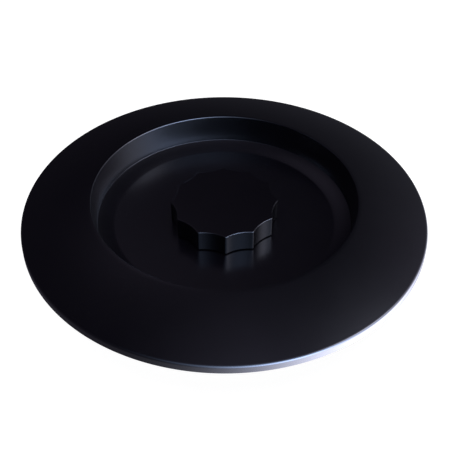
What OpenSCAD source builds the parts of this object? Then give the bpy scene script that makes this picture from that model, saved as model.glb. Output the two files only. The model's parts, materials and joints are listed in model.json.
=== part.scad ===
// Twist-lock cover for the throat of a kitchen waste disposer.
// Millimetres, +Z up. The origin is on the axis, in the plane of the rim's lower edge, where the
// spigot starts. The knob's front is towards -Y.

/* [Cover] */
// Outside diameter of the rim
cover_d = 114.3; // [108:0.1:120]
// Height of the upright rim
rim_h = 2.7; // [2.2:0.1:4]
// Width of the rim's lower edge
rim_t = 2.2; // [1.6:0.1:3]
// Wall thickness of the flange
flange_t = 2.4; // [1.8:0.1:3]
// How far the flange bulges above a straight cone
flange_crown = 0.25; // [0:0.05:0.6]
// Diameter of the well at its lip
lip_d = 74.6; // [72:0.1:76]
// Height of the lip above the rim's lower edge
lip_z = 8.4; // [7:0.1:10]
// Diameter of the well at the foot of its wall
foot_d = 72.1; // [68:0.1:72.4]
// Height of the wall's foot
foot_z = 0.45; // [0:0.05:1]
// Level of the well's flat floor
floor_z = -0.85; // [-1.5:0.05:0]
// Diameter of the flat floor, where the cove round it starts
cove_d = 62.8; // [60:0.1:66]
// Slope at which the cove leaves the flat floor
cove_start = 8; // [0:0.5:12]
// Thickness of the floor
floor_t = 2.45; // [2:0.05:3]

/* [Spigot] */
// Outside diameter of the spigot that enters the drain throat
spigot_d = 80; // [79:0.1:81]
// How far the spigot reaches below the rim's lower edge
spigot_depth = 5.8; // [5:0.1:6.5]

/* [Knob] */
// Diameter over the knob's cusps
knob_d = 31; // [28:0.1:34]
// Level of the knob's top
knob_top_z = 5.65; // [5.5:0.05:7]
// Number of concave scallops round the knob
scallop_count = 12; // [8:1:16]
// Depth of a scallop below the circle of the cusps
scallop_depth = 1.55; // [1:0.05:2]
// Angle of the front cusp from -Y, towards +X
knob_phase = 1.5; // [0:0.5:30]

/* [Lock] */
// Angle through which the knob turns, from unlocked to locked
lock_travel = 60; // [50:1:62]
// Radius of the lugs' tips
lug_tip_r = 39.5; // [38:0.1:39.8]
// Angle that each lug covers
lug_angle = 36; // [30:1:40]
// Clear height between the spigot and the lugs
ledge_gap = 4.4; // [4.2:0.1:4.6]
// Thickness of the rotor's disc and lugs
rotor_t = 2.2; // [2:0.1:2.4]
// Thickness of the base plate
base_t = 2; // [1.8:0.1:2.2]

/* [Hidden] */

$fn = 96;
gap = 0.05;              // running gap between faces that slide on each other
past = 1;                // how far a cutting shape runs past the face it cuts
fillet_steps = 6;
crown_steps = 8;
cove_steps = 8;

// Cover
cover_r = cover_d / 2;
rim_fillet_r = 0.7;
rim_foot_chamfer = 0.3;
rim_inner_r = cover_r - rim_t;
lip_r = lip_d / 2;
lip_fillet_r = 0.3;
foot_r = foot_d / 2;
cove_r0 = cove_d / 2;
spigot_r = spigot_d / 2;
spigot_t = 2.5;
spigot_chamfer = 0.5;
spigot_bottom = -spigot_depth;
floor_under = floor_z - floor_t;
boss_r = 10.2;
boss_end = -8;
shoulder_r = 41;         // outside of the well's wall above the rim plane
groove_rib_r0 = 45.7;    // rib round the outside of the seal
groove_rib_r1 = 47.1;
groove_rib_z = 1.2;
floor_rib_count = 6;
floor_rib_t = 1.6;
floor_rib_end = -5;

// Posts and sleeves
post_count = 3;
post_r = 22;             // radius of the circle they stand on
post_angle = 90;
post_end = -6;
post_boss_r = 4.2;
sleeve_r = 3.5;
screw_r = 1.5;
screw_hole_r = 1.55;
screw_hole_roof = -2;
screw_head_r = 2.75;
screw_head_h = 1.3;

// Levels of the lock, downwards
spindle_top = 0.2;
bush_flange_end = boss_end - 0.8;
rotor_hub_top = bush_flange_end - 0.6;
rotor_top = spigot_bottom - ledge_gap;
rotor_bottom = rotor_top - rotor_t;
base_top = rotor_bottom - 0.6;
base_bottom = base_top - base_t;

// Spindle and what sits on it
spindle_r = 5;
bush_r = 7.55;
bush_bore_r = spindle_r + gap;
bush_hole_r = 7.6;
bush_flange_r = 9;
square_w = 7;
square_play = 0.1;
bolt_r = 1.95;
bolt_way_r = 2.2;
bolt_thread_r = 2;
bolt_head_r = 3.5;
bolt_head_h = 2.2;
washer_h = 0.6;
lock_washer_h = 0.8;
counterbore_r = 5.4;
counterbore_top = rotor_bottom + 1.2;
washer_r = 4.8;
lock_washer_r = 3.6;
washer_bottom = counterbore_top - washer_h;
bolt_seat = washer_bottom - lock_washer_h;

// Knob
knob_r = knob_d / 2;
knob_bottom = floor_z + 0.2;
knob_edge_r = knob_r - 0.25;   // radius to which the cusps are blunted
insert_r = 6.5;
insert_top = 4.4;
insert_thread_z = 1.8;
knob_recess_r = 10.3;
knob_recess_z = floor_z + 0.5;
knob_core_r0 = 10.3;
knob_core_r1 = 12.2;
knob_core_top = 3.6;

// Rotor
rotor_r = 30.5;
rotor_hub_r = 9.5;
slot_half_w = sleeve_r + 0.3;
slot_end_angle = asin(slot_half_w / post_r);
rotor_angle = 180;       // centre of the first lug when unlocked
lug_ramp_angle = 6;
lug_ramp_length = 9;
rotor_overlap = 1.5;     // how far up inside the disc its hub and bosses start
magnet_circle_r = 24;
magnet_r = 3;
magnet_h = 1.5;
magnet_pocket_r = 3.1;
magnet_cover_h = 0.4;
magnet_boss_r = 4.6;
magnet_boss_top = rotor_top + 0.6;

// Points of an arc in the plane of a profile
function arc(centre, r, from, to, steps) =
    [for (i = [0:steps]) let (a = from + (to - from) * i / steps)
        centre + r * [cos(a), sin(a)]];

function unit(v) = v / norm(v);

// Points of the fillet that rounds the corner at p between the points before and after it
function fillet(before, p, after, r) =
    let (
        to_before = unit(before - p),
        to_after = unit(after - p),
        half = acos(to_before * to_after) / 2,
        start = p + to_before * r / tan(half),
        end = p + to_after * r / tan(half),
        centre = p + unit(to_before + to_after) * r / sin(half),
        from = atan2(start[1] - centre[1], start[0] - centre[0]),
        swing = atan2(end[1] - centre[1], end[0] - centre[0]) - from,
        turn = swing > 180 ? swing - 360 : swing < -180 ? swing + 360 : swing
    )
    arc(centre, r, from, from + turn, fillet_steps);

rim_crease = [cover_r - rim_fillet_r, rim_h];
lip = [lip_r, lip_z];
foot = [foot_r, foot_z];

// Height of the flange's top at a fraction t of the way from the rim to the lip
function flange_point(t) =
    rim_crease + (lip - rim_crease) * t + [0, flange_crown * 4 * t * (1 - t)];

// Height of the flange's underside at radius r
function flange_under(r) =
    rim_h + (lip_z - rim_h) * (rim_crease[0] - r) / (rim_crease[0] - lip_r) - flange_t;

// The cove is an arc from the edge of the flat floor, at its starting slope, to the wall's foot
cove_w = foot_r - cove_r0;
cove_rise = foot_z - floor_z;
cove_chord_slope = atan2(cove_rise, cove_w);
cove_end = 2 * cove_chord_slope - cove_start;
cove_radius = norm([cove_w, cove_rise]) / 2 / sin(cove_chord_slope - cove_start);
cove_centre = [cove_r0, floor_z] + cove_radius * [-sin(cove_start), cos(cove_start)];

flange_top = [for (i = [1:crown_steps - 1]) flange_point(1 - i / crown_steps)];

shell_profile = concat(
    [[bush_hole_r, boss_end], [bush_hole_r, floor_z]],
    arc(cove_centre, cove_radius, cove_start - 90, cove_end - 90, cove_steps),
    fillet(foot, lip, flange_top[0], lip_fillet_r),
    flange_top,
    arc([cover_r - rim_fillet_r, rim_h - rim_fillet_r], rim_fillet_r, 75, 0, fillet_steps),
    [[cover_r, rim_foot_chamfer], [cover_r - rim_foot_chamfer, 0],
     [rim_inner_r, 0], [rim_inner_r, flange_under(rim_inner_r)],
     [groove_rib_r1, flange_under(groove_rib_r1)], [groove_rib_r1, groove_rib_z],
     [groove_rib_r0, groove_rib_z], [groove_rib_r0, flange_under(groove_rib_r0)],
     [shoulder_r, flange_under(shoulder_r)], [shoulder_r, 0], [spigot_r, 0],
     [spigot_r, spigot_bottom + spigot_chamfer], [spigot_r - spigot_chamfer, spigot_bottom],
     [spigot_r - spigot_t, spigot_bottom], [spigot_r - spigot_t, floor_under],
     [boss_r, floor_under], [boss_r, boss_end]]
);

// Children repeated round the axis, one to each post
module at_posts() {
    for (i = [0:post_count - 1])
        rotate([0, 0, post_angle + i * 360 / post_count])
            translate([post_r, 0, 0])
                children();
}

// Children repeated round the axis, one to each lug
module at_lugs() {
    for (i = [0:post_count - 1])
        rotate([0, 0, rotor_angle + i * 360 / post_count])
            children();
}

// A round bar or disc between two levels
module bar(r, bottom, top) {
    translate([0, 0, bottom])
        cylinder(r = r, h = top - bottom);
}

// A flat ring between two levels
module ring(r_in, r_out, bottom, top) {
    difference() {
        bar(r_out, bottom, top);
        bar(r_in, bottom - past, top + past);
    }
}

// A ring of round section, centred on the level z
module o_ring(section_r, centre_r, z) {
    translate([0, 0, z])
        rotate_extrude()
            translate([centre_r, 0])
                circle(r = section_r, $fn = 32);
}

// A square bar between two levels
module square_bar(w, bottom, top) {
    translate([-w / 2, -w / 2, bottom])
        cube([w, w, top - bottom]);
}

module floor_ribs() {
    length = spigot_r - spigot_t - boss_r + 1;
    for (i = [0:floor_rib_count - 1])
        rotate([0, 0, i * 360 / floor_rib_count])
            translate([boss_r - 0.5, -floor_rib_t / 2, floor_rib_end])
                cube([length, floor_rib_t, floor_under - floor_rib_end + 0.2]);
}

module cover_shell() {
    color("#131218")
        difference() {
            union() {
                rotate_extrude($fn = 180) polygon(shell_profile);
                floor_ribs();
                at_posts() bar(post_boss_r, post_end, floor_under + 0.2);
            }
            at_posts() bar(screw_hole_r, post_end - past, screw_hole_roof);
        }
}

seal_r0 = shoulder_r + 0.1;
seal_r1 = groove_rib_r0 - 0.1;
seal_lip_r = 43.6;

module rim_seal() {
    color("#26262a")
        rotate_extrude()
            polygon([[seal_r0, 0.9], [seal_lip_r - 1.1, 0.5], [seal_lip_r - 0.5, 0],
                     [seal_lip_r + 0.5, 0], [seal_lip_r + 1.1, 0.5], [seal_r1, 0.9],
                     [seal_r1, flange_under(seal_r1) - 0.1], [seal_r0, flange_under(seal_r0) - 0.1]]);
}

bush_ring_r = 0.75;
bush_ring_z = -5.2;

module spindle_bush() {
    color("#e8e4d8")
        difference() {
            union() {
                bar(bush_r, boss_end, floor_z);
                bar(bush_flange_r, bush_flange_end, boss_end);
            }
            bar(bush_bore_r, bush_flange_end - past, floor_z + past);
            ring(bush_r - 2 * bush_ring_r, bush_r + past,
                 bush_ring_z - bush_ring_r, bush_ring_z + bush_ring_r);
        }
}

module bush_o_ring() {
    color("#1c1c1e")
        o_ring(bush_ring_r - 0.01, bush_r - bush_ring_r, bush_ring_z);
}

module spacer_sleeves() {
    color("#b9bcc0")
        at_posts() ring(screw_hole_r + 0.05, sleeve_r, base_top, post_end);
}

glide_r0 = 10;
glide_r1 = 13;

module glide_ring() {
    color("#e8e4d8")
        ring(glide_r0, glide_r1, base_top, rotor_bottom - gap);
}

base_r = 30;
base_hole_r = 6;
base_edge = 0.5;
base_dish_r0 = 9;
base_dish_r1 = 16;
base_dish_depth = 0.7;

module base_plate() {
    color("#2b2b2f")
        difference() {
            union() {
                bar(base_r, base_bottom + base_edge, base_top);
                translate([0, 0, base_bottom])
                    cylinder(r1 = base_r - base_edge, r2 = base_r, h = base_edge);
            }
            bar(base_hole_r, base_bottom - past, base_top + past);
            ring(base_dish_r0, base_dish_r1, base_bottom - past, base_bottom + base_dish_depth);
            at_posts() bar(screw_hole_r, base_bottom - past, base_top + past);
            at_posts() bar(screw_head_r + 0.15, base_bottom - past, base_bottom + screw_head_h);
        }
}

cross_w = 0.8;
cross_l = 3.2;
cross_depth = 0.8;
screw_seat = base_bottom + screw_head_h;

module cross_recess(bottom) {
    for (a = [0, 90])
        rotate([0, 0, a])
            translate([-cross_l / 2, -cross_w / 2, bottom - past])
                cube([cross_l, cross_w, cross_depth + past]);
}

module base_screws() {
    color("#c9ccd0")
        at_posts()
            difference() {
                union() {
                    bar(screw_r, screw_seat - 0.1, screw_hole_roof - 0.3);
                    bar(screw_head_r, base_bottom + 0.1, screw_seat);
                }
                cross_recess(base_bottom + 0.1);
            }
}

// The knob's outline: cusps on a circle, joined by concave arcs
scallop_mid_r = knob_r - scallop_depth;
scallop_half_w = knob_r * sin(180 / scallop_count);
scallop_sag = knob_r * cos(180 / scallop_count) - scallop_mid_r;
scallop_r = (scallop_half_w * scallop_half_w + scallop_sag * scallop_sag) / (2 * scallop_sag);

module knob_body() {
    difference() {
        bar(knob_edge_r, knob_bottom, knob_top_z);
        for (i = [0:scallop_count - 1])
            rotate([0, 0, knob_phase - 90 + (i + 0.5) * 360 / scallop_count])
                translate([scallop_mid_r + scallop_r, 0, 0])
                    bar(scallop_r, knob_bottom - past, knob_top_z + past);
    }
}

module knob() {
    color("#16151b")
        difference() {
            knob_body();
            bar(knob_recess_r, knob_bottom - past, knob_recess_z);
            ring(knob_core_r0, knob_core_r1, knob_bottom - past, knob_core_top);
            bar(insert_r + 0.02, knob_bottom - past, insert_top + 0.02);
        }
}

insert_groove_w = 0.8;
insert_groove_depth = 0.5;
insert_socket_r = 5.15;

module knob_insert() {
    color("#c8a24a")
        difference() {
            bar(insert_r, knob_recess_z, insert_top);
            for (z = [1, 2.8])
                ring(insert_r - insert_groove_depth, insert_r + past, z, z + insert_groove_w);
            bar(insert_socket_r, knob_recess_z - past, spindle_top + 0.05);
            square_bar(square_w + square_play, spindle_top, insert_thread_z);
            bar(bolt_thread_r, insert_thread_z - past, insert_top + past);
        }
}

module thrust_washer() {
    color("#f2efe6")
        ring(insert_r + 0.3, knob_recess_r - 0.3, floor_z + 0.02, knob_recess_z - 0.02);
}

shaft_ring_r = 0.8;
shaft_ring_z = -2.4;
square_top = insert_thread_z - 0.1;
square_bottom = counterbore_top + 0.1;

module spindle() {
    color("#b8bbc0")
        difference() {
            union() {
                bar(spindle_r, rotor_hub_top, spindle_top);
                square_bar(square_w, square_bottom, square_top);
            }
            bar(bolt_way_r, square_bottom - past, square_top + past);
            ring(spindle_r - 2 * shaft_ring_r, spindle_r + past,
                 shaft_ring_z - shaft_ring_r, shaft_ring_z + shaft_ring_r);
        }
}

module shaft_o_ring() {
    color("#1c1c1e")
        o_ring(shaft_ring_r - 0.01, spindle_r - shaft_ring_r + 0.02, shaft_ring_z);
}

spring_r0 = 5.6;
spring_r1 = 8.8;
spring_t = 0.25;

module disc_spring() {
    color("#9a9da3")
        rotate_extrude()
            polygon([[spring_r0, bush_flange_end - gap - spring_t], [spring_r0, bush_flange_end - gap],
                     [spring_r1, rotor_hub_top + spring_t], [spring_r1, rotor_hub_top]]);
}

// Curved slots round the post circle, each as wide as a sleeve with its play. Their flat ends
// stop the sleeves at both ends of the travel.
module travel_slots() {
    for (i = [0:post_count - 1])
        rotate([0, 0, post_angle - slot_end_angle + i * 360 / post_count])
            translate([0, 0, rotor_bottom - past])
                rotate_extrude(angle = lock_travel + 2 * slot_end_angle)
                    translate([post_r - slot_half_w, 0])
                        square([2 * slot_half_w, rotor_t + 2 * past]);
}

// The space between two lugs, centred on +X, which leaves the disc of radius rotor_r whole
module lug_gap() {
    half = 180 / post_count - lug_angle / 2;
    far = 2 * lug_tip_r;
    difference() {
        translate([0, 0, rotor_bottom - past])
            linear_extrude(rotor_t + 2 * past)
                polygon([[0, 0], far * [cos(half), -sin(half)], far * [cos(half), sin(half)]]);
        bar(rotor_r, rotor_bottom - 2 * past, rotor_top + 2 * past);
    }
}

// The wedge cut from the top of a lug on +X, on the side that goes first when locking
module lug_ramp() {
    rotate([0, 0, -lug_angle / 2])
        translate([rotor_r + 0.5, lug_ramp_length, rotor_top])
            rotate([lug_ramp_angle, 0, 0])
                translate([0, -2 * lug_ramp_length, 0])
                    cube([lug_tip_r, 2 * lug_ramp_length + 2 * past, 2 * past]);
}

module lock_rotor() {
    color("#3a3a40")
        difference() {
            union() {
                bar(lug_tip_r, rotor_bottom, rotor_top);
                bar(rotor_hub_r, rotor_bottom + rotor_overlap, rotor_hub_top);
                at_lugs() translate([magnet_circle_r, 0, 0])
                    bar(magnet_boss_r, rotor_bottom + rotor_overlap, magnet_boss_top);
            }
            at_lugs() rotate([0, 0, 180 / post_count]) lug_gap();
            at_lugs() lug_ramp();
            travel_slots();
            square_bar(square_w + square_play, rotor_bottom - past, rotor_hub_top + past);
            bar(counterbore_r, rotor_bottom - past, counterbore_top);
            at_lugs() translate([magnet_circle_r, 0, 0])
                bar(magnet_pocket_r, rotor_bottom - past, rotor_bottom + magnet_cover_h + magnet_h + 0.1);
        }
}

module magnets() {
    color("#c4c6ca")
        at_lugs() translate([magnet_circle_r, 0, 0])
            bar(magnet_r, rotor_bottom + magnet_cover_h, rotor_bottom + magnet_cover_h + magnet_h);
}

module magnet_covers() {
    color("#3a3a40")
        at_lugs() translate([magnet_circle_r, 0, 0])
            bar(magnet_pocket_r - 0.05, rotor_bottom, rotor_bottom + magnet_cover_h);
}

bolt_tip = insert_top - 0.3;
hex_af = 3;
hex_depth = 1.5;

module centre_bolt() {
    color("#c9ccd0")
        difference() {
            union() {
                bar(bolt_r, bolt_seat - 0.1, bolt_tip);
                bar(bolt_head_r, bolt_seat - bolt_head_h, bolt_seat);
            }
            translate([0, 0, bolt_seat - bolt_head_h - past])
                cylinder(r = hex_af / sqrt(3), h = hex_depth + past, $fn = 6);
        }
}

module bolt_washer() {
    color("#b9bcc0")
        ring(bolt_way_r, washer_r, washer_bottom, counterbore_top);
}

split_w = 0.5;

module lock_washer() {
    color("#9a9da3")
        difference() {
            ring(bolt_way_r, lock_washer_r, bolt_seat, washer_bottom);
            translate([0, -split_w / 2, bolt_seat - past])
                cube([2 * lock_washer_r, split_w, lock_washer_h + 2 * past]);
        }
}

cover_shell();
rim_seal();
spindle_bush();
bush_o_ring();
spacer_sleeves();
glide_ring();
base_plate();
base_screws();
knob();
knob_insert();
thrust_washer();
spindle();
shaft_o_ring();
disc_spring();
lock_rotor();
magnets();
magnet_covers();
centre_bolt();
bolt_washer();
lock_washer();
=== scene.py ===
"""Looks of a twist-lock cover for a kitchen waste disposer: cover, knob and the lock under them."""

import json
import math

import bmesh
import bpy
from mathutils import Matrix, Vector


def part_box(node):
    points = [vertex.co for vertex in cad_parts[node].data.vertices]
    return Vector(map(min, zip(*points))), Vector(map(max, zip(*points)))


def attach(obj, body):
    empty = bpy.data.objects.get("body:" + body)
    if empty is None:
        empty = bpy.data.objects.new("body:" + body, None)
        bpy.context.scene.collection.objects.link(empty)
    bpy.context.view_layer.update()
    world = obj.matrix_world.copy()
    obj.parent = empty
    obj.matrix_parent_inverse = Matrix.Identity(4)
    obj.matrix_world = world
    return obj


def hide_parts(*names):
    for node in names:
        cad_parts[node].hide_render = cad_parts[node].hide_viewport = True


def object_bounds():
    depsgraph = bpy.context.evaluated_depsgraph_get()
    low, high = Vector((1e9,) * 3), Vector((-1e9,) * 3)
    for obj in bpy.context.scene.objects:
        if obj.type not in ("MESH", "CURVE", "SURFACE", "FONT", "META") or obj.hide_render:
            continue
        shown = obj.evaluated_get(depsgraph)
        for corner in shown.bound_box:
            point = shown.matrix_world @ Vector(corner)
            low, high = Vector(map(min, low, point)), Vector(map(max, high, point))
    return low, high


MM = 0.001
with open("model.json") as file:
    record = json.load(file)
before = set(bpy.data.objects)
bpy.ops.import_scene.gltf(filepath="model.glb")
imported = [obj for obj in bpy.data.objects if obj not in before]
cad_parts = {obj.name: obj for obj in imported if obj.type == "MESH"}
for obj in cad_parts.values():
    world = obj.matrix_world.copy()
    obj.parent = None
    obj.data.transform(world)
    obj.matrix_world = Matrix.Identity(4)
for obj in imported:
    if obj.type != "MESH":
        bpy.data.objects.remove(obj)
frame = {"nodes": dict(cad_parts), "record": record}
cad_low, cad_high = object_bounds()

# Levels and radii in millimetres. What the frame can tell is measured there.
COVER_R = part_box("cover_shell")[1].x / MM
BOSS_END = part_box("cover_shell")[0].z / MM
KNOB_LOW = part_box("knob")[0].z / MM
KNOB_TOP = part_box("knob")[1].z / MM

# The cover, from its rim inwards
RIM_H = 2.7
RIM_T = 2.2
RIM_FILLET = 0.7
FLANGE_T = 2.4
FLANGE_CROWN = 0.25
LIP_R = 37.3
LIP_Z = 8.4
LIP_FILLET = 0.2
FOOT_FILLET = 0.08
FOOT_R = 36.05
FOOT_Z = 0.45
FLOOR_Z = -0.85
COVE_R0 = 31.4
COVE_START = 8.0
FLOOR_T = 2.45
SPIGOT_R = 40.0
SPIGOT_T = 2.5
SPIGOT_END = -5.8
SHOULDER_R = 41.0
GROOVE_RIB_R0 = 45.7
GROOVE_RIB_R1 = 47.1
GROOVE_RIB_Z = 1.2
BUSH_HOLE_R = 7.6
BOSS_R = 10.2
FLOOR_RIBS = 6
FLOOR_RIB_T = 1.6
FLOOR_RIB_END = -5.0
POST_COUNT = 3
POST_R = 22.0
POST_BOSS_R = 4.2
POST_END = -6.0
SCREW_HOLE_R = 1.55
SCREW_HOLE_ROOF = -2.0

# The knob
KNOB_CUSP_R = 15.25
KNOB_SCALLOPS = 12
SCALLOP_MID_R = 13.95
KNOB_PHASE = 1.5
KNOB_CUSP_ROUND = 0.6
KNOB_TOP_FILLET = 0.15
KNOB_FOOT_CHAMFER = 0.2
KNOB_RECESS_Z = -0.35
KNOB_CORE_R0 = 10.3
KNOB_CORE_R1 = 12.2
KNOB_CORE_TOP = 3.6
INSERT_R = 6.52
INSERT_TOP = 4.42
KNOB_TOP_RINGS = (4, 8, 11, 13)

# How finely curves are divided
LATHE_STEPS = 288
SCALLOP_POINTS = 16
CUSP_POINTS = 6
FLANGE_STEPS = 16
COVE_STEPS = 12
FILLET_STEPS = 6
# Straight runs over a length get points near their ends
LONG_RUN = 1.5
SUPPORT_REACH = 0.25


# Outlines

def arc(centre, radius, start, end, steps):
    """Points of an arc in the plane of an outline, from one angle to another in degrees."""
    points = []
    for i in range(steps + 1):
        a = math.radians(start + (end - start) * i / steps)
        points.append((centre[0] + radius * math.cos(a), centre[1] + radius * math.sin(a)))
    return points


def rounded(corners):
    """A closed outline whose corners (x, y, radius) are rounded with arcs."""
    points = []
    for i, (x, y, radius) in enumerate(corners):
        here = Vector((x, y))
        if not radius:
            points.append((x, y))
            continue
        before = Vector(corners[i - 1][:2]) - here
        after = Vector(corners[(i + 1) % len(corners)][:2]) - here
        half = before.angle(after) / 2
        reach = min(radius / math.tan(half), 0.45 * before.length, 0.45 * after.length)
        radius = reach * math.tan(half)
        middle = here + (before.normalized() + after.normalized()).normalized() * radius / math.sin(half)
        start = here + before.normalized() * reach - middle
        end = here + after.normalized() * reach - middle
        turn = math.atan2(start.x * end.y - start.y * end.x, start.dot(end))
        for k in range(FILLET_STEPS + 1):
            p = middle + Matrix.Rotation(turn * k / FILLET_STEPS, 2) @ start
            points.append((p.x, p.y))
    return points


def supported(outline):
    """Adds points near the ends of an outline's long straight runs, so that they shade flat."""
    points = []
    for i, (x, y) in enumerate(outline):
        points.append((x, y))
        here = Vector((x, y))
        run = Vector(outline[(i + 1) % len(outline)]) - here
        if run.length > LONG_RUN:
            reach = run.normalized() * SUPPORT_REACH
            points += [tuple(here + reach), tuple(here + run - reach)]
    return points


# Meshes

def new_piece(name, vertices, faces, sharp_angle=40):
    """A mesh object from points in millimetres, smooth except across sharp edges."""
    mesh = bpy.data.meshes.new(name)
    mesh.from_pydata([tuple(c * MM for c in v) for v in vertices], [], faces)
    shape = bmesh.new()
    shape.from_mesh(mesh)
    bmesh.ops.recalc_face_normals(shape, faces=shape.faces)
    shape.to_mesh(mesh)
    shape.free()
    piece = bpy.data.objects.new(name, mesh)
    bpy.context.scene.collection.objects.link(piece)
    shade(piece, sharp_angle)
    return piece


def shade(piece, sharp_angle):
    piece.data.shade_smooth()
    piece.data.set_sharp_from_angle(angle=math.radians(sharp_angle))


def loft(name, loops, sharp_angle=40):
    """A closed solid through rings of points. A ring of one point is a pole."""
    vertices = []
    starts = []
    for ring in loops:
        starts.append(len(vertices))
        vertices += ring
    faces = []
    for i, ring in enumerate(loops):
        j = (i + 1) % len(loops)
        count, other = len(ring), len(loops[j])
        if count == other == 1:
            continue
        for k in range(max(count, other)):
            nxt = (k + 1) % max(count, other)
            face = [starts[i] + k % count, starts[i] + nxt % count,
                    starts[j] + nxt % other, starts[j] + k % other]
            faces.append(list(dict.fromkeys(face)))
    return new_piece(name, vertices, faces, sharp_angle)


def lathe(name, outline, steps=LATHE_STEPS, sharp_angle=40):
    """A closed solid of revolution about the axis, from a closed outline (r, z)."""
    turns = [2 * math.pi * i / steps for i in range(steps)]
    loops = [[(r * math.cos(a), r * math.sin(a), z) for a in turns] for r, z in outline]
    return loft(name, loops, sharp_angle)


def block(name, low, high, turn=0.0):
    """A box between two corners, turned about the axis by an angle in degrees."""
    c, s = math.cos(math.radians(turn)), math.sin(math.radians(turn))
    corners = [(x, y, z) for z in (low[2], high[2]) for y in (low[1], high[1]) for x in (low[0], high[0])]
    vertices = [(x * c - y * s, x * s + y * c, z) for x, y, z in corners]
    faces = [(0, 2, 3, 1), (4, 5, 7, 6), (0, 1, 5, 4), (1, 3, 7, 5), (3, 2, 6, 7), (2, 0, 4, 6)]
    return new_piece(name, vertices, faces)


def post(name, radius, bottom, top, x, y, steps=64):
    """A round bar at a place off the axis."""
    turns = [2 * math.pi * i / steps for i in range(steps)]
    loops = [[(x + radius * math.cos(a), y + radius * math.sin(a), z) for a in turns] for z in (bottom, top)]
    return loft(name, [[(x, y, bottom)], loops[0], loops[1], [(x, y, top)]])


def join_shapes(piece, tool, operation):
    """Joins a tool shape to a piece, or cuts it out, and removes the tool."""
    modifier = piece.modifiers.new("shape", "BOOLEAN")
    modifier.object = tool
    modifier.operation = operation
    modifier.solver = "EXACT"
    depsgraph = bpy.context.evaluated_depsgraph_get()
    mesh = bpy.data.meshes.new_from_object(piece.evaluated_get(depsgraph))
    piece.modifiers.remove(modifier)
    piece.data = mesh
    bpy.data.objects.remove(tool)


# The cover

def flange_top(share):
    """A point of the flange's top, from the rim at 0 to the lip at 1."""
    r0 = COVER_R - RIM_FILLET
    r = r0 + (LIP_R - r0) * share
    z = RIM_H + (LIP_Z - RIM_H) * share + FLANGE_CROWN * 4 * share * (1 - share)
    return r, z


def flange_under(r):
    """Height of the flange's underside, which is a plain cone."""
    r0 = COVER_R - RIM_FILLET
    return RIM_H + (LIP_Z - RIM_H) * (r0 - r) / (r0 - LIP_R) - FLANGE_T


def cover_outline():
    width, rise = FOOT_R - COVE_R0, FOOT_Z - FLOOR_Z
    start, middle = math.radians(COVE_START), math.atan2(rise, width)
    radius = math.hypot(width, rise) / 2 / math.sin(middle - start)
    centre = (COVE_R0 - radius * math.sin(start), FLOOR_Z + radius * math.cos(start))
    cove_end = 2 * math.degrees(middle) - COVE_START
    cove = arc(centre, radius, COVE_START - 90, cove_end - 90, COVE_STEPS)
    crown = [flange_top(1 - i / FLANGE_STEPS) for i in range(1, FLANGE_STEPS)]
    rim_inner = COVER_R - RIM_T
    spigot_inner = SPIGOT_R - SPIGOT_T
    floor_under = FLOOR_Z - FLOOR_T
    corners = [(BUSH_HOLE_R, BOSS_END, 0.1), (BUSH_HOLE_R, FLOOR_Z, 0.1)]
    corners += [(r, z, 0) for r, z in cove[:-1]]
    corners += [(cove[-1][0], cove[-1][1], FOOT_FILLET), (LIP_R, LIP_Z, LIP_FILLET)]
    corners += [(r, z, 0) for r, z in crown]
    rim_slope = (LIP_Z - RIM_H + 4 * FLANGE_CROWN) / (COVER_R - RIM_FILLET - LIP_R)
    corners += [
        (COVER_R, RIM_H - RIM_FILLET * rim_slope, RIM_FILLET), (COVER_R, 0, 0.3), (rim_inner, 0, 0.2),
        (rim_inner, flange_under(rim_inner), 0.3),
        (GROOVE_RIB_R1, flange_under(GROOVE_RIB_R1), 0.3), (GROOVE_RIB_R1, GROOVE_RIB_Z, 0.2),
        (GROOVE_RIB_R0, GROOVE_RIB_Z, 0.2), (GROOVE_RIB_R0, flange_under(GROOVE_RIB_R0), 0.2),
        (SHOULDER_R, flange_under(SHOULDER_R), 0.3), (SHOULDER_R, 0, 0.2), (SPIGOT_R, 0, 0.2),
        (SPIGOT_R, SPIGOT_END, 0.5), (spigot_inner, SPIGOT_END, 0.3), (spigot_inner, floor_under, 0.4),
        (BOSS_R, floor_under, 0.4), (BOSS_R, BOSS_END, 0.3),
    ]
    return supported(rounded(corners))


def make_cover():
    cover = lathe("cover_moulding", cover_outline())
    floor_under = FLOOR_Z - FLOOR_T
    for i in range(FLOOR_RIBS):
        rib = block("rib", (BOSS_R - 0.5, -FLOOR_RIB_T / 2, FLOOR_RIB_END),
                    (SPIGOT_R - SPIGOT_T + 0.5, FLOOR_RIB_T / 2, floor_under + 0.4), i * 360 / FLOOR_RIBS)
        join_shapes(cover, rib, "UNION")
    for i in range(POST_COUNT):
        a = math.radians(90 + i * 360 / POST_COUNT)
        x, y = POST_R * math.cos(a), POST_R * math.sin(a)
        join_shapes(cover, post("post", POST_BOSS_R, POST_END, floor_under + 0.4, x, y), "UNION")
        join_shapes(cover, post("hole", SCREW_HOLE_R, POST_END - 1, SCREW_HOLE_ROOF, x, y), "DIFFERENCE")
    shade(cover, 35)
    return cover


# The knob

def polar(radius, degrees, centre=(0.0, 0.0)):
    """The point at a distance and direction from a centre."""
    a = math.radians(degrees)
    return centre[0] + radius * math.cos(a), centre[1] + radius * math.sin(a)


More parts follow.
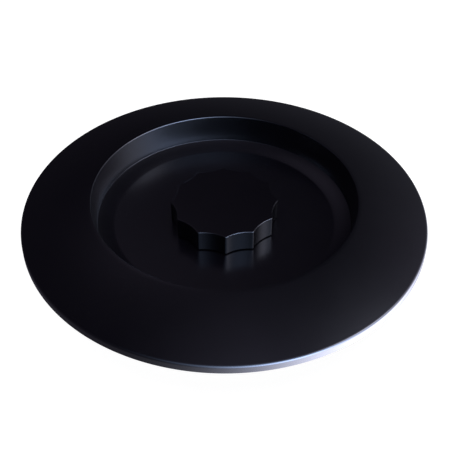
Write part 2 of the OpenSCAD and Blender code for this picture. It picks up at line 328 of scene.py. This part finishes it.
def knob_outline():
    """(point, outward direction) pairs round the knob: concave scallops that meet in rounded cusps."""
    step = 360 / KNOB_SCALLOPS
    half = math.radians(step / 2)
    half_w = KNOB_CUSP_R * math.sin(half)
    sag = KNOB_CUSP_R * math.cos(half) - SCALLOP_MID_R
    scallop_r = (half_w ** 2 + sag ** 2) / (2 * sag)
    centre_r = SCALLOP_MID_R + scallop_r
    # The circle that rounds a cusp lies on the cusp's line and touches the scallops beside it
    reach = scallop_r + KNOB_CUSP_ROUND
    cusp_r = centre_r * math.cos(half) - math.sqrt(reach ** 2 - (centre_r * math.sin(half)) ** 2)
    sweep = math.degrees(math.asin(cusp_r * math.sin(half) / reach))
    opening = step / 2 + sweep
    outline = []
    for i in range(KNOB_SCALLOPS):
        middle = KNOB_PHASE - 90 + (i + 0.5) * step
        scallop_centre = polar(centre_r, middle)
        for k in range(SCALLOP_POINTS + 1):
            a = middle + 180 + sweep * (1 - 2 * k / SCALLOP_POINTS)
            outline.append((polar(scallop_r, a, scallop_centre), polar(-1, a)))
        cusp = middle + step / 2
        cusp_centre = polar(cusp_r, cusp)
        for k in range(1, CUSP_POINTS):
            a = cusp + opening * (2 * k / CUSP_POINTS - 1)
            outline.append((polar(KNOB_CUSP_ROUND, a, cusp_centre), polar(1, a)))
    return outline


def make_knob():
    outline = knob_outline()
    turns = [math.atan2(p[1], p[0]) for p, _ in outline]

    def scalloped(inset, z):
        return [(p[0] - inset * n[0], p[1] - inset * n[1], z) for p, n in outline]

    def circle(r, z):
        return [(r * math.cos(a), r * math.sin(a), z) for a in turns]

    loops = [[(0, 0, KNOB_TOP)]]
    loops += [circle(r, KNOB_TOP) for r in KNOB_TOP_RINGS]
    loops.append(scalloped(KNOB_TOP_FILLET + SUPPORT_REACH, KNOB_TOP))
    for k in range(FILLET_STEPS + 1):
        a = math.radians(90 * k / FILLET_STEPS)
        inset = KNOB_TOP_FILLET * (1 - math.sin(a))
        loops.append(scalloped(inset, KNOB_TOP - KNOB_TOP_FILLET * (1 - math.cos(a))))
    loops.append(scalloped(0, KNOB_TOP - KNOB_TOP_FILLET - SUPPORT_REACH))
    loops.append(scalloped(0, KNOB_LOW + KNOB_FOOT_CHAMFER + SUPPORT_REACH))
    loops.append(scalloped(0, KNOB_LOW + KNOB_FOOT_CHAMFER))
    loops.append(scalloped(KNOB_FOOT_CHAMFER, KNOB_LOW))
    loops += [circle(r, z) for r, z in (
        (KNOB_CORE_R1, KNOB_LOW), (KNOB_CORE_R1, KNOB_CORE_TOP), (KNOB_CORE_R0, KNOB_CORE_TOP),
        (KNOB_CORE_R0, KNOB_RECESS_Z), (INSERT_R, KNOB_RECESS_Z), (INSERT_R, INSERT_TOP))]
    loops.append([(0, 0, INSERT_TOP)])
    return loft("knob_moulding", loops)


# Materials

# How much rougher the well's floor is than the rest of the cover
SATIN_EXTRA = 0.04


def connect(tree, socket, value):
    """Links a socket to another node's output, or sets it to a plain value."""
    if isinstance(value, bpy.types.NodeSocket):
        tree.links.new(value, socket)
    else:
        socket.default_value = value


def maths(tree, operation, first, second=0.0):
    node = tree.nodes.new("ShaderNodeMath")
    node.operation = operation
    connect(tree, node.inputs[0], first)
    connect(tree, node.inputs[1], second)
    return node.outputs["Value"]


def vector_maths(tree, operation, first, second):
    node = tree.nodes.new("ShaderNodeVectorMath")
    node.operation = operation
    connect(tree, node.inputs[0], first)
    connect(tree, node.inputs["Scale" if operation == "SCALE" else 1], second)
    return node.outputs["Value" if operation in ("DOT_PRODUCT", "LENGTH") else "Vector"]


class Finish:
    """A Principled material with helpers for patterns in the object's own space, in metres."""

    def __init__(self, name, colour, roughness, metallic=0.0):
        self.material = bpy.data.materials.new(name)
        self.material.use_nodes = True
        self.tree = self.material.node_tree
        self.shader = self.tree.nodes["Principled BSDF"]
        self.shader.inputs["Base Color"].default_value = (*colour, 1)
        self.shader.inputs["Roughness"].default_value = roughness
        self.shader.inputs["Metallic"].default_value = metallic
        self.place = self.tree.nodes.new("ShaderNodeTexCoord").outputs["Object"]
        self.normal = None

    def link(self, out, socket):
        self.tree.links.new(out, socket)

    def noise(self, size_mm, detail=3.0, rough=0.5):
        """Noise with features of about a size in millimetres, from 0 to 1."""
        noise = self.tree.nodes.new("ShaderNodeTexNoise")
        noise.inputs["Scale"].default_value = 1 / (size_mm * MM)
        noise.inputs["Detail"].default_value = detail
        noise.inputs["Roughness"].default_value = rough
        self.link(self.place, noise.inputs["Vector"])
        return noise.outputs["Fac"]

    def rings(self, pitch_mm):
        """Fine turning marks: bands round the axis, from 0 to 1."""
        wave = self.tree.nodes.new("ShaderNodeTexWave")
        wave.wave_type = "RINGS"
        wave.rings_direction = "Z"
        wave.inputs["Scale"].default_value = 0.314 / (pitch_mm * MM)
        wave.inputs["Distortion"].default_value = 0.6
        wave.inputs["Detail"].default_value = 2
        self.link(self.place, wave.inputs["Vector"])
        return wave.outputs["Fac"]

    def spread(self, value, low, high, from_low=0.2, from_high=0.8):
        """A pattern's values mapped to a range."""
        remap = self.tree.nodes.new("ShaderNodeMapRange")
        remap.inputs["From Min"].default_value = from_low
        remap.inputs["From Max"].default_value = from_high
        remap.inputs["To Min"].default_value = low
        remap.inputs["To Max"].default_value = high
        self.link(value, remap.inputs["Value"])
        return remap.outputs["Result"]

    def roughness(self, value, low, high, extra=None):
        """Roughness from a pattern, with more of it where an extra value says so."""
        level = self.spread(value, low, high)
        if extra:
            level = maths(self.tree, "ADD", level, extra)
        self.link(level, self.shader.inputs["Roughness"])

    def inside(self, radius_mm, edge_mm, amount):
        """An amount within a radius of the axis, which fades to nothing over the edge."""
        flat = vector_maths(self.tree, "MULTIPLY", self.place, (1, 1, 0))
        distance = vector_maths(self.tree, "LENGTH", flat, (0, 0, 0))
        outer = (radius_mm + edge_mm) * MM
        return self.spread(distance, amount, 0, radius_mm * MM, outer)

    def colours(self, value, first, second):
        """Blends the base colour between two by a pattern."""
        mix = self.tree.nodes.new("ShaderNodeMix")
        mix.data_type = "RGBA"
        mix.inputs["A"].default_value = (*first, 1)
        mix.inputs["B"].default_value = (*second, 1)
        self.link(self.spread(value, 0, 1), mix.inputs["Factor"])
        self.link(mix.outputs["Result"], self.shader.inputs["Base Color"])

    def bump(self, value, height_mm):
        """Relief of a height in millimetres, added to what is there."""
        bump = self.tree.nodes.new("ShaderNodeBump")
        bump.inputs["Distance"].default_value = height_mm * MM
        self.link(value, bump.inputs["Height"])
        if self.normal:
            self.link(self.normal, bump.inputs["Normal"])
        self.normal = bump.outputs["Normal"]
        self.link(self.normal, self.shader.inputs["Normal"])


def gloss_black(name, first, second, rough_low, rough_high, satin_r=None):
    """Polished black moulding with a trace of flow and handling, more satin within a radius."""
    finish = Finish(name, first, rough_low)
    finish.colours(finish.noise(9, 4), first, second)
    satin = finish.inside(satin_r, 0.4, SATIN_EXTRA) if satin_r else None
    finish.roughness(finish.noise(14, 2), rough_low, rough_high, satin)
    finish.bump(finish.noise(5, 2), 0.004)
    finish.bump(finish.noise(0.35, 2), 0.0002)
    return finish.material


def moulded_matt(name, first, second, rough_low, rough_high, grain_mm, relief_mm):
    """A moulding with a fine spark-eroded grain."""
    finish = Finish(name, first, rough_low)
    finish.colours(finish.noise(4, 5), first, second)
    finish.roughness(finish.noise(2.5, 5), rough_low, rough_high)
    finish.bump(finish.noise(grain_mm, 3, 0.6), relief_mm)
    return finish.material


def turned_metal(name, first, second, rough_low, rough_high, pitch_mm):
    """Metal with fine turning marks round the axis and slight staining."""
    finish = Finish(name, first, rough_low, metallic=1.0)
    finish.colours(finish.noise(2, 5), first, second)
    finish.roughness(finish.noise(1.2, 5), rough_low, rough_high)
    finish.bump(finish.rings(pitch_mm), 0.0015)
    finish.bump(finish.noise(0.4, 3), 0.001)
    return finish.material


def dress(piece, material):
    piece.data.materials.clear()
    piece.data.materials.append(material)


BLACK = (0.0010, 0.0008, 0.0020)
WORN_BLACK = (0.0013, 0.0010, 0.0025)

FINISHES = {
    "cover_black": gloss_black("cover_black", BLACK, WORN_BLACK, 0.18, 0.22, FOOT_R),
    "knob_black": gloss_black("knob_black", BLACK, WORN_BLACK, 0.15, 0.19),
    "seal_rubber": moulded_matt(
        "seal_rubber", (0.018, 0.018, 0.019), (0.03, 0.03, 0.031), 0.5, 0.68, 0.3, 0.01),
    "acetal": moulded_matt("acetal", (0.78, 0.75, 0.66), (0.7, 0.66, 0.56), 0.36, 0.5, 0.25, 0.004),
    "lock_nylon": moulded_matt(
        "lock_nylon", (0.04, 0.041, 0.045), (0.06, 0.061, 0.066), 0.38, 0.52, 0.22, 0.012),
    "stainless": turned_metal("stainless", (0.62, 0.62, 0.6), (0.54, 0.53, 0.51), 0.2, 0.34, 0.12),
    "spring_steel": turned_metal("spring_steel", (0.42, 0.42, 0.43), (0.34, 0.34, 0.36), 0.3, 0.42, 0.2),
    "brass": turned_metal("brass", (0.72, 0.5, 0.2), (0.6, 0.4, 0.15), 0.22, 0.36, 0.15),
    "nickel": turned_metal("nickel", (0.68, 0.67, 0.64), (0.6, 0.59, 0.56), 0.14, 0.24, 0.3),
}

cover = make_cover()
dress(cover, FINISHES["cover_black"])
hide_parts("cover_shell")
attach(cover, "cover")

knob = make_knob()
dress(knob, FINISHES["knob_black"])
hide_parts("knob")
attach(knob, "lock")

for part in frame["record"]["subparts"]:
    if part["node"] not in ("cover_shell", "knob"):
        dress(frame["nodes"][part["node"]], FINISHES[part["material_slot"]])


# Studio

VIEW_ELEVATION = 41.9
VIEW_ROLL = -0.21
VIEW_DISTANCE = 257.2
FOCAL_MM = 71.9
AIM_RIGHT = 0.2
AIM_UP = -2.55

OVERHEAD_WATTS = 6.0
TABLE_GLOW = 0.98
# In metres: the overhead light's height and width, how far the table reaches, and its gap under the object
OVERHEAD_Z = 0.8
OVERHEAD_WIDTH = 1.0
TABLE_REACH = 3
TABLE_GAP = 0.0002


def make_camera():
    """The camera looks down at the front, with the object's centre a little above its axis."""
    e, roll = math.radians(VIEW_ELEVATION), math.radians(VIEW_ROLL)
    back = Vector((0, -math.cos(e), math.sin(e)))
    level = Vector((1, 0, 0))
    rise = Vector((0, math.sin(e), math.cos(e)))
    right = math.cos(roll) * level - math.sin(roll) * rise
    up = math.sin(roll) * level + math.cos(roll) * rise
    data = bpy.data.cameras.new("camera")
    data.sensor_width = 36
    data.lens = FOCAL_MM
    data.clip_start = 0.01
    data.clip_end = 20
    camera = bpy.data.objects.new("camera", data)
    bpy.context.scene.collection.objects.link(camera)
    turn = Matrix((right, up, back)).transposed().to_4x4()
    place = (back * VIEW_DISTANCE + right * AIM_RIGHT + up * AIM_UP) * MM
    camera.matrix_world = Matrix.Translation(place) @ turn
    bpy.context.scene.camera = camera


# Tints of the room's lights
VIOLET = (0.95, 0.85, 1.2)
PALE = (0.9, 0.92, 1.15)
COOL = (0.7, 0.9, 1.4)
BLUE = (0.45, 0.8, 1.75)

# Soft lights of the room: direction (from the back round to the right, and up), strength, tightness, tint
SOFT_LIGHTS = (
    ("left", -95, -5, 0.1, 2, VIOLET),
    ("high at the back", -20, 55, 0.25, 35, VIOLET),
    ("back right", 70, 20, 0.8, 20, VIOLET),
    ("right window", 100, 40, 13, 30, PALE),
    ("front right window", 145, 5, 27, 10, COOL),
    ("beside the front right window", 125, 20, 0.8, 12, BLUE),
    ("pale table on the right", 110, -30, 16, 5, PALE),
    ("front", 170, 40, 3, 12, COOL),
    ("overhead", 145, 80, 0.3, 20, VIOLET),
)


def soft_lights():
    """A dark room whose soft lights fade out smoothly round their directions.

    Only gloss shows it. Behind the object the room is plain white.
    """
    world = bpy.data.worlds.new("studio")
    world.use_nodes = True
    world.cycles_visibility.diffuse = False
    tree = world.node_tree
    direction = tree.nodes.new("ShaderNodeTexCoord").outputs["Generated"]
    total = (0, 0, 0)
    for _, azimuth, elevation, strength, tightness, tint in SOFT_LIGHTS:
        a, e = math.radians(azimuth), math.radians(elevation)
        towards = (math.sin(a) * math.cos(e), math.cos(a) * math.cos(e), math.sin(e))
        facing = vector_maths(tree, "DOT_PRODUCT", direction, towards)
        fade = maths(tree, "MULTIPLY", maths(tree, "SUBTRACT", facing, 1.0), tightness)
        light = vector_maths(tree, "SCALE", [strength * c for c in tint], maths(tree, "EXPONENT", fade))
        total = vector_maths(tree, "ADD", total, light)
    room = tree.nodes["Background"]
    tree.links.new(total, room.inputs["Color"])
    white = tree.nodes.new("ShaderNodeBackground")
    white.inputs["Color"].default_value = (1, 1, 1, 1)
    choice = tree.nodes.new("ShaderNodeMixShader")
    tree.links.new(tree.nodes.new("ShaderNodeLightPath").outputs["Is Camera Ray"], choice.inputs[0])
    tree.links.new(room.outputs["Background"], choice.inputs[1])
    tree.links.new(white.outputs["Background"], choice.inputs[2])
    tree.links.new(choice.outputs["Shader"], tree.nodes["World Output"].inputs["Surface"])
    bpy.context.scene.world = world


def overhead_light():
    """A large soft light that lights the parts evenly and adds no reflection of its own."""
    data = bpy.data.lights.new("overhead", "AREA")
    data.shape = "DISK"
    data.size = OVERHEAD_WIDTH
    data.energy = OVERHEAD_WATTS
    lamp = bpy.data.objects.new("overhead", data)
    bpy.context.scene.collection.objects.link(lamp)
    lamp.location = (0, 0, OVERHEAD_Z)
    lamp.visible_glossy = False


def make_floor():
    """A white table, left out of the reflections and seen through from below."""
    mesh = bpy.data.meshes.new("floor")
    z = cad_low.z - TABLE_GAP
    corners = [(x * TABLE_REACH, y * TABLE_REACH, z) for x, y in ((-1, -1), (1, -1), (1, 1), (-1, 1))]
    mesh.from_pydata(corners, [], [(0, 1, 2, 3)])
    floor = bpy.data.objects.new("floor", mesh)
    bpy.context.scene.collection.objects.link(floor)
    material = bpy.data.materials.new("white_table")
    material.use_nodes = True
    tree = material.node_tree
    shader = tree.nodes["Principled BSDF"]
    shader.inputs["Base Color"].default_value = (0.25, 0.25, 0.26, 1)
    shader.inputs["Roughness"].default_value = 0.9
    shader.inputs["Specular IOR Level"].default_value = 0
    shader.inputs["Emission Color"].default_value = (1, 1, 1, 1)
    shader.inputs["Emission Strength"].default_value = TABLE_GLOW
    clear = tree.nodes.new("ShaderNodeBsdfTransparent")
    choice = tree.nodes.new("ShaderNodeMixShader")
    tree.links.new(tree.nodes.new("ShaderNodeNewGeometry").outputs["Backfacing"], choice.inputs[0])
    tree.links.new(shader.outputs["BSDF"], choice.inputs[1])
    tree.links.new(clear.outputs["BSDF"], choice.inputs[2])
    tree.links.new(choice.outputs["Shader"], tree.nodes["Material Output"].inputs["Surface"])
    mesh.materials.append(material)
    floor.visible_glossy = False


make_camera()
soft_lights()
overhead_light()
make_floor()
bpy.context.scene.view_settings.view_transform = "Standard"
